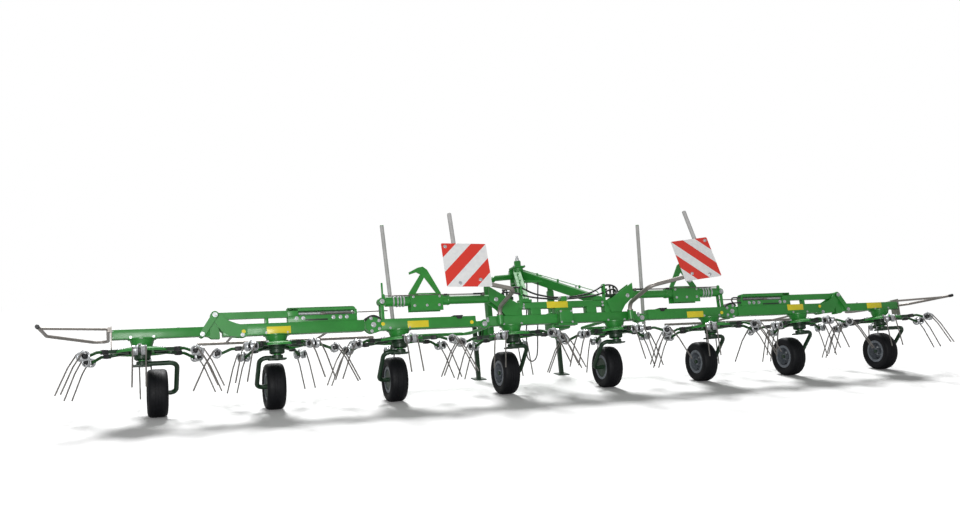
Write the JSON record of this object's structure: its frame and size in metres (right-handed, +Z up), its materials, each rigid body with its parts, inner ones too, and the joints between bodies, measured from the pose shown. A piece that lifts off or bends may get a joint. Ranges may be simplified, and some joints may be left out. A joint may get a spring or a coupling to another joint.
{
  "type": "mounted hay tedder",
  "caption": "Mounted hay tedder with folding arms in three sections a side, tined rotors on small wheels, guard tubes, warning boards and parking stands.",
  "frame": {"origin": "on the ground under the middle of the box round the rigid pieces", "axes": "+X to the right-hand side, +Y forward to the tractor, +Z up"},
  "size_m": [9.278, 2.107, 1.7323],
  "materials": {
    "dark_paint": "dark green enamel",
    "galvanised": "galvanised steel",
    "green_paint": "gloss green enamel",
    "hose_rubber": "black rubber",
    "rope": "black cord",
    "sign_white": "white sheet with red stripes",
    "tyre": "matt black rubber",
    "wheel_silver": "silver paint"
  },
  "bodies": {
    "centre": {"centre_frame": "green_paint", "yoke": "green_paint", "gearbox": "green_paint", "front_guards": "galvanised", "carriers_4_5": "dark_paint", "rope": "rope", "hoses": "hose_rubber"},
    "headstock": {"headstock": "green_paint"},
    "stand_left": {"stand_left": "green_paint"},
    "stand_right": {"stand_right": "green_paint"},
    "arm_a_left": {"arm_a_left": "green_paint", "carrier_3": "dark_paint"},
    "arm_b_left": {"arm_b_left": "green_paint", "fold_bar_left": "green_paint", "guard_rail_left": "galvanised", "carrier_2": "dark_paint"},
    "arm_c_left": {"arm_c_left": "green_paint", "hoop_left": "galvanised", "carrier_1": "dark_paint"},
    "barrel_left": {"barrel_left": "green_paint"},
    "rod_left": {"rod_left": "green_paint"},
    "sign_left": {"sign_board_left": "sign_white", "sign_post_left": "galvanised"},
    "arm_a_right": {"arm_a_right": "green_paint", "carrier_6": "dark_paint"},
    "arm_b_right": {"arm_b_right": "green_paint", "fold_bar_right": "green_paint", "guard_rail_right": "galvanised", "carrier_7": "dark_paint"},
    "arm_c_right": {"arm_c_right": "green_paint", "hoop_right": "galvanised", "carrier_8": "dark_paint"},
    "barrel_right": {"barrel_right": "green_paint"},
    "rod_right": {"rod_right": "green_paint"},
    "sign_right": {"sign_board_right": "sign_white", "sign_post_right": "galvanised"},
    "rotor_1": {"rotor_1": "green_paint"},
    "wheel_1": {"tyre_1": "tyre", "rim_1": "wheel_silver"},
    "rotor_2": {"rotor_2": "green_paint"},
    "wheel_2": {"tyre_2": "tyre", "rim_2": "wheel_silver"},
    "rotor_3": {"rotor_3": "green_paint"},
    "wheel_3": {"tyre_3": "tyre", "rim_3": "wheel_silver"},
    "rotor_4": {"rotor_4": "green_paint"},
    "wheel_4": {"tyre_4": "tyre", "rim_4": "wheel_silver"},
    "rotor_5": {"rotor_5": "green_paint"},
    "wheel_5": {"tyre_5": "tyre", "rim_5": "wheel_silver"},
    "rotor_6": {"rotor_6": "green_paint"},
    "wheel_6": {"tyre_6": "tyre", "rim_6": "wheel_silver"},
    "rotor_7": {"rotor_7": "green_paint"},
    "wheel_7": {"tyre_7": "tyre", "rim_7": "wheel_silver"},
    "rotor_8": {"rotor_8": "green_paint"},
    "wheel_8": {"tyre_8": "tyre", "rim_8": "wheel_silver"}
  },
  "joints": [
    {"name": "headstock_swing", "type": "hinge", "parent": "centre", "child": "headstock", "pos_m": [0, 0.86853, 1.07231], "axis": [0, 0.2334, 0.9724], "range_deg": [-12, 12]},
    {"name": "stand_right_lift", "type": "slide", "parent": "headstock", "child": "stand_right", "axis": [0, 0.2334, 0.9724], "range_m": [0, 0.3]},
    {"name": "stand_left_lift", "type": "slide", "parent": "headstock", "child": "stand_left", "axis": [0, 0.2334, 0.9724], "range_m": [0, 0.3]},
    {"name": "arm_a_right_fold", "type": "hinge", "parent": "centre", "child": "arm_a_right", "pos_m": [0.835, -0.24119, 0.69083], "axis": [0, -0.9724, 0.2334], "range_deg": [-5, 82]},
    {"name": "arm_b_right_float", "type": "hinge", "parent": "arm_a_right", "child": "arm_b_right", "pos_m": [1.895, -0.23418, 0.72], "axis": [0, -0.9724, 0.2334], "range_deg": [-5, 6]},
    {"name": "arm_c_right_fold", "type": "hinge", "parent": "arm_b_right", "child": "arm_c_right", "pos_m": [3.265, -0.20267, 0.85127], "axis": [0, -0.9724, 0.2334], "range_deg": [0, 180]},
    {"name": "barrel_right_tilt", "type": "hinge", "parent": "arm_a_right", "child": "barrel_right", "pos_m": [1.8, -0.18516, 0.9242], "axis": [0, -0.9724, 0.2334], "range_deg": [-1, 6]},
    {"name": "rod_right_slide", "type": "slide", "parent": "barrel_right", "child": "rod_right", "axis": [1, 0, 0], "range_m": [-0.03, 0.37]},
    {"name": "sign_right_swing", "type": "hinge", "parent": "centre", "child": "sign_right", "pos_m": [0.69, -0.32364, 0.74148], "axis": [0, -0.2334, -0.9724], "range_deg": [-5, 61]},
    {"name": "arm_a_left_fold", "type": "hinge", "parent": "centre", "child": "arm_a_left", "pos_m": [-0.835, -0.24119, 0.69083], "axis": [0, 0.9724, -0.2334], "range_deg": [-5, 82]},
    {"name": "arm_b_left_float", "type": "hinge", "parent": "arm_a_left", "child": "arm_b_left", "pos_m": [-1.895, -0.23418, 0.72], "axis": [0, 0.9724, -0.2334], "range_deg": [-5, 6]},
    {"name": "arm_c_left_fold", "type": "hinge", "parent": "arm_b_left", "child": "arm_c_left", "pos_m": [-3.265, -0.20267, 0.85127], "axis": [0, 0.9724, -0.2334], "range_deg": [0, 180]},
    {"name": "barrel_left_tilt", "type": "hinge", "parent": "arm_a_left", "child": "barrel_left", "pos_m": [-1.8, -0.18516, 0.9242], "axis": [0, 0.9724, -0.2334], "range_deg": [-1, 6]},
    {"name": "rod_left_slide", "type": "slide", "parent": "barrel_left", "child": "rod_left", "axis": [-1, 0, 0], "range_m": [-0.03, 0.37]},
    {"name": "sign_left_swing", "type": "hinge", "parent": "centre", "child": "sign_left", "pos_m": [-0.69, -0.32364, 0.74148], "axis": [0, 0.2334, 0.9724], "range_deg": [-5, 61]},
    {"name": "rotor_1_spin", "type": "hinge", "parent": "arm_c_left", "child": "rotor_1", "pos_m": [-3.85, -0.2692, 0.57415], "axis": [0, 0.2334, 0.9724], "continuous": true},
    {"name": "rotor_2_spin", "type": "hinge", "parent": "arm_b_left", "child": "rotor_2", "pos_m": [-2.75, -0.2692, 0.57415], "axis": [0, 0.2334, 0.9724], "continuous": true},
    {"name": "rotor_3_spin", "type": "hinge", "parent": "arm_a_left", "child": "rotor_3", "pos_m": [-1.65, -0.2692, 0.57415], "axis": [0, 0.2334, 0.9724], "continuous": true},
    {"name": "rotor_4_spin", "type": "hinge", "parent": "centre", "child": "rotor_4", "pos_m": [-0.55, -0.2692, 0.57415], "axis": [0, 0.2334, 0.9724], "continuous": true},
    {"name": "rotor_5_spin", "type": "hinge", "parent": "centre", "child": "rotor_5", "pos_m": [0.55, -0.2692, 0.57415], "axis": [0, 0.2334, 0.9724], "continuous": true},
    {"name": "rotor_6_spin", "type": "hinge", "parent": "arm_a_right", "child": "rotor_6", "pos_m": [1.65, -0.2692, 0.57415], "axis": [0, 0.2334, 0.9724], "continuous": true},
    {"name": "rotor_7_spin", "type": "hinge", "parent": "arm_b_right", "child": "rotor_7", "pos_m": [2.75, -0.2692, 0.57415], "axis": [0, 0.2334, 0.9724], "continuous": true},
    {"name": "rotor_8_spin", "type": "hinge", "parent": "arm_c_right", "child": "rotor_8", "pos_m": [3.85, -0.2692, 0.57415], "axis": [0, 0.2334, 0.9724], "continuous": true},
    {"name": "wheel_1_spin", "type": "hinge", "parent": "arm_c_left", "child": "wheel_1", "pos_m": [-3.728, -0.10518, 0.2025], "axis": [1, 0, 0], "continuous": true},
    {"name": "wheel_2_spin", "type": "hinge", "parent": "arm_b_left", "child": "wheel_2", "pos_m": [-2.75, -0.10518, 0.2025], "axis": [1, 0, 0], "continuous": true},
    {"name": "wheel_3_spin", "type": "hinge", "parent": "arm_a_left", "child": "wheel_3", "pos_m": [-1.65, -0.10518, 0.2025], "axis": [1, 0, 0], "continuous": true},
    {"name": "wheel_4_spin", "type": "hinge", "parent": "centre", "child": "wheel_4", "pos_m": [-0.55, -0.10518, 0.2025], "axis": [1, 0, 0], "continuous": true},
    {"name": "wheel_5_spin", "type": "hinge", "parent": "centre", "child": "wheel_5", "pos_m": [0.55, -0.10518, 0.2025], "axis": [1, 0, 0], "continuous": true},
    {"name": "wheel_6_spin", "type": "hinge", "parent": "arm_a_right", "child": "wheel_6", "pos_m": [1.65, -0.10518, 0.2025], "axis": [1, 0, 0], "continuous": true},
    {"name": "wheel_7_spin", "type": "hinge", "parent": "arm_b_right", "child": "wheel_7", "pos_m": [2.75, -0.10518, 0.2025], "axis": [1, 0, 0], "continuous": true},
    {"name": "wheel_8_spin", "type": "hinge", "parent": "arm_c_right", "child": "wheel_8", "pos_m": [3.998, -0.10518, 0.2025], "axis": [1, 0, 0], "continuous": true}
  ],
  "couplings": [
    {"joint": "barrel_right_tilt", "follows": "arm_a_right_fold", "ratio": 0.05},
    {"joint": "rod_right_slide", "follows": "arm_a_right_fold", "m_per_rad": 0.23804},
    {"joint": "sign_right_swing", "follows": "arm_a_right_fold", "ratio": 0.73171},
    {"joint": "barrel_left_tilt", "follows": "arm_a_left_fold", "ratio": 0.05},
    {"joint": "rod_left_slide", "follows": "arm_a_left_fold", "m_per_rad": 0.23804},
    {"joint": "sign_left_swing", "follows": "arm_a_left_fold", "ratio": 0.73171},
    {"joint": "rotor_1_spin", "follows": "rotor_4_spin", "ratio": -1},
    {"joint": "rotor_2_spin", "follows": "rotor_4_spin", "ratio": 1},
    {"joint": "rotor_3_spin", "follows": "rotor_4_spin", "ratio": -1},
    {"joint": "rotor_5_spin", "follows": "rotor_4_spin", "ratio": -1},
    {"joint": "rotor_6_spin", "follows": "rotor_4_spin", "ratio": 1},
    {"joint": "rotor_7_spin", "follows": "rotor_4_spin", "ratio": -1},
    {"joint": "rotor_8_spin", "follows": "rotor_4_spin", "ratio": 1}
  ]
}
